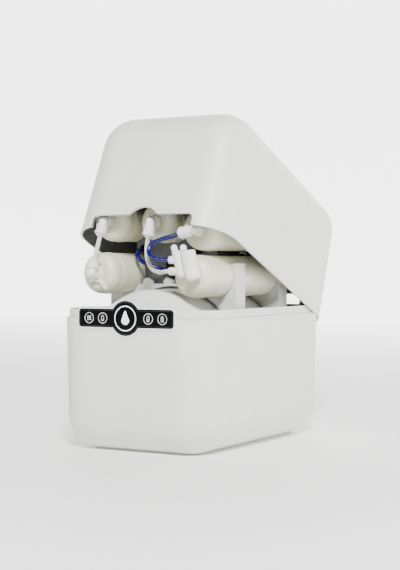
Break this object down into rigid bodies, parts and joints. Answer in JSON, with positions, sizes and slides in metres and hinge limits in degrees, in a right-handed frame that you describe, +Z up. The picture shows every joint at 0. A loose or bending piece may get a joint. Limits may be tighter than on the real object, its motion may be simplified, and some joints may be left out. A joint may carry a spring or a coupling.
{
  "type": "reverse osmosis unit",
  "caption": "Closed-case reverse osmosis water unit with a hinged lid, a pressure tank under inline cartridges, push-in tube fittings and a round-centred display.",
  "frame": {"origin": "centre of the flat underside of the case", "axes": "+X to the right seen from the front, front faces -Y, +Z up"},
  "size_m": [0.26, 0.4622, 0.488],
  "materials": {
    "case_plastic": "fine satin grain",
    "cartridge_plastic": "satin",
    "fitting_plastic": "satin",
    "rack_plastic": "satin",
    "tank_plastic": "gloss",
    "blue_tube": "gloss",
    "white_tube": "satin",
    "black_window": "gloss",
    "display_border": "satin",
    "board": "solder mask",
    "rubber_black": "matt",
    "medium": "fibrous",
    "pin_steel": "brushed",
    "valve_red": "satin"
  },
  "bodies": {
    "case": {"air_valve": "rubber_black", "block_cartridge": "cartridge_plastic", "block_core": "medium", "block_elbow": "fitting_plastic", "block_tube": "white_tube", "carbon_cartridge": "cartridge_plastic", "carbon_core": "medium", "carbon_elbow": "fitting_plastic", "dc_inlet": "rubber_black", "display_board": "board", "display_frame": "display_border", "display_lens": "black_window", "drain_port": "fitting_plastic", "drain_tube": "blue_tube", "faucet_port": "fitting_plastic", "faucet_tube": "blue_tube", "feed_line_tube": "blue_tube", "feed_port": "fitting_plastic", "feed_tube": "blue_tube", "flow_restrictor": "fitting_plastic", "hinge_brackets": "case_plastic", "link_tube": "white_tube", "lower_case": "case_plastic", "membrane_cartridge": "cartridge_plastic", "membrane_core": "medium", "membrane_port_left": "fitting_plastic", "membrane_port_right": "fitting_plastic", "permeate_tube": "blue_tube", "pivot_pins": "pin_steel", "polish_cartridge": "cartridge_plastic", "polish_core": "medium", "polish_elbow": "fitting_plastic", "rack_front_rib": "rack_plastic", "rack_rear_rib": "rack_plastic", "rack_tray": "rack_plastic", "rear_elbows": "fitting_plastic", "reject_tube": "white_tube", "sediment_cartridge": "cartridge_plastic", "sediment_clip": "fitting_plastic", "sediment_core": "medium", "sediment_elbow": "fitting_plastic", "shutoff_valve": "fitting_plastic", "tank_bladder": "rubber_black", "tank_flange": "fitting_plastic", "tank_saddles": "rubber_black", "tank_shell": "tank_plastic", "tank_tube": "blue_tube", "tank_valve": "fitting_plastic", "valve_outlet_tube": "blue_tube"},
    "lid": {"lid": "case_plastic", "lid_arms": "case_plastic"},
    "tank_valve_lever": {"tank_valve_lever": "valve_red"},
    "carbon_collet": {"carbon_collet": "fitting_plastic"},
    "sediment_collet": {"sediment_collet": "fitting_plastic"},
    "block_collet": {"block_collet": "fitting_plastic"},
    "polish_collet": {"polish_collet": "fitting_plastic"},
    "feed_port_collet": {"feed_port_collet": "fitting_plastic"},
    "faucet_port_collet": {"faucet_port_collet": "fitting_plastic"},
    "drain_port_collet": {"drain_port_collet": "fitting_plastic"}
  },
  "joints": [
    {"name": "lid_hinge", "type": "hinge", "parent": "case", "child": "lid", "pos_m": [0, 0.142, 0.166], "axis": [-1, 0, 0], "range_deg": [-23.2, 16]},
    {"name": "tank_valve_turn", "type": "hinge", "parent": "case", "child": "tank_valve_lever", "pos_m": [0, 0.159, 0.122], "axis": [-1, 0, 0], "range_deg": [0, 90]},
    {"name": "carbon_collet_push", "type": "slide", "parent": "case", "child": "carbon_collet", "axis": [0.0871, 0.2737, 0.9579], "range_m": [0, 0.0015], "stiffness_N_per_m": 400},
    {"name": "sediment_collet_push", "type": "slide", "parent": "case", "child": "sediment_collet", "axis": [-0.0871, -0.2737, -0.9579], "range_m": [0, 0.0015], "stiffness_N_per_m": 400},
    {"name": "block_collet_push", "type": "slide", "parent": "case", "child": "block_collet", "axis": [0.1772, 0, 0.9842], "range_m": [0, 0.0015], "stiffness_N_per_m": 400},
    {"name": "polish_collet_push", "type": "slide", "parent": "case", "child": "polish_collet", "axis": [0.963, 0, 0.2696], "range_m": [0, 0.0015], "stiffness_N_per_m": 400},
    {"name": "feed_port_collet_push", "type": "slide", "parent": "case", "child": "feed_port_collet", "axis": [0, -1, 0], "range_m": [0, 0.0015], "stiffness_N_per_m": 400},
    {"name": "faucet_port_collet_push", "type": "slide", "parent": "case", "child": "faucet_port_collet", "axis": [0, -1, 0], "range_m": [0, 0.0015], "stiffness_N_per_m": 400},
    {"name": "drain_port_collet_push", "type": "slide", "parent": "case", "child": "drain_port_collet", "axis": [0, -1, 0], "range_m": [0, 0.0015], "stiffness_N_per_m": 400}
  ]
}
